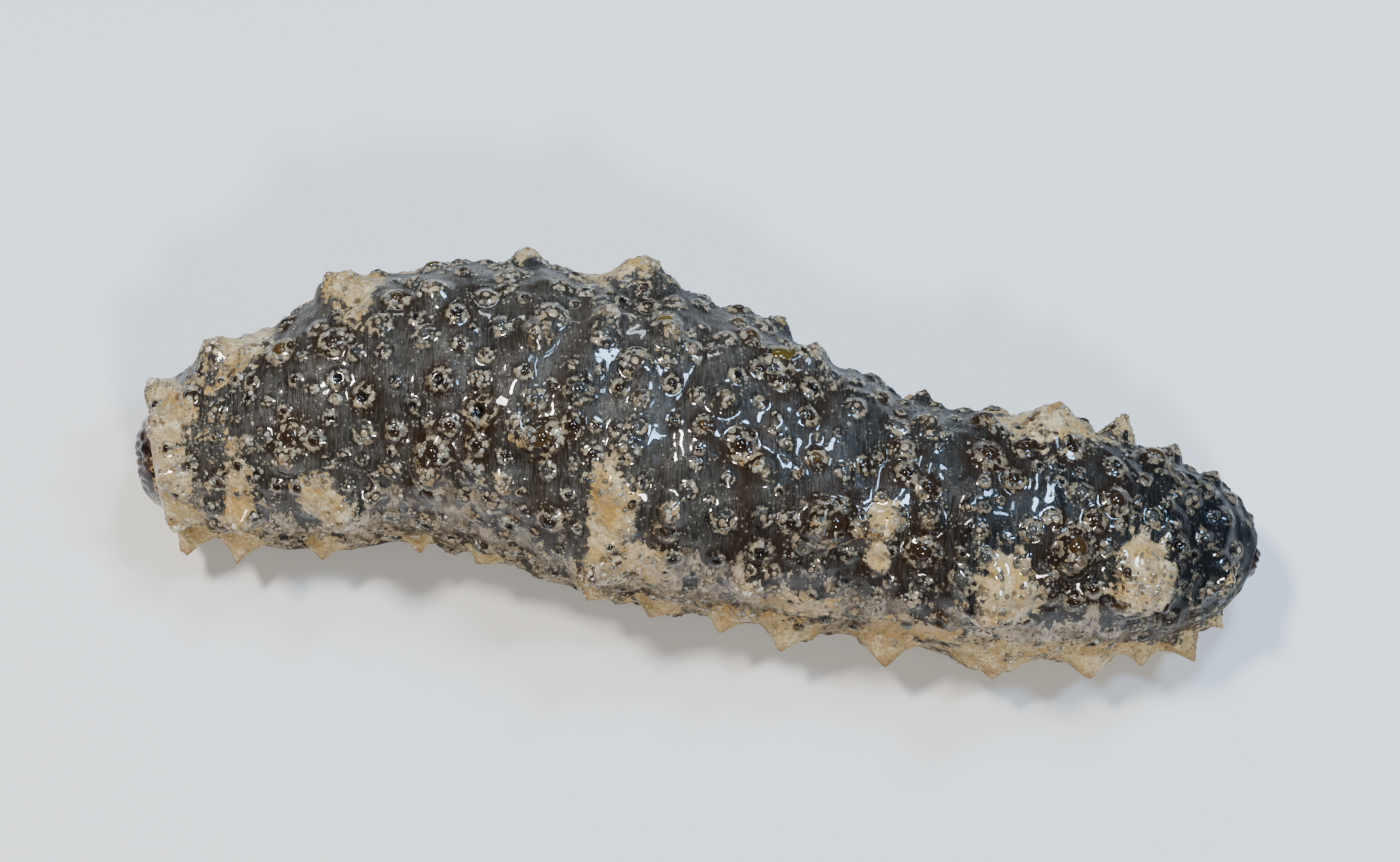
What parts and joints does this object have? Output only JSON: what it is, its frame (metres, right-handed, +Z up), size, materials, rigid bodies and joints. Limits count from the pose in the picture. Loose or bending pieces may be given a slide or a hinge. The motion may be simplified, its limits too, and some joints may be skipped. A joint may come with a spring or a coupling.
{
  "type": "sea cucumber model",
  "caption": "Life-size sea cucumber at rest on its sole: a flattened, slightly S-bent warty body with pointed papillae along its edges, a drawn-in mouth disc and sucker feet.",
  "frame": {"origin": "on the floor under the middle of the whole animal's box", "axes": "+X from the mouth end to the tail, -X end holds the mouth; +Z up through the back; -Y is the side nearer the viewer of the picture"},
  "size_m": [0.1098, 0.0414, 0.0262],
  "materials": {
    "skin": "wet dark olive-brown skin with beige patches and pale-ringed warts",
    "sole": "moist beige-brown underside with sucker feet",
    "mouth": "wet purple-brown folded mouth disc and vent"
  },
  "bodies": {
    "root": {"head": "skin", "mouth": "mouth", "body_front": "skin", "body_fore_middle": "skin", "body_hind_middle": "skin", "body_hind": "skin", "tail": "skin", "vent": "mouth", "sole_front": "sole", "sole_middle": "sole", "sole_hind": "sole"}
  },
  "joints": []
}
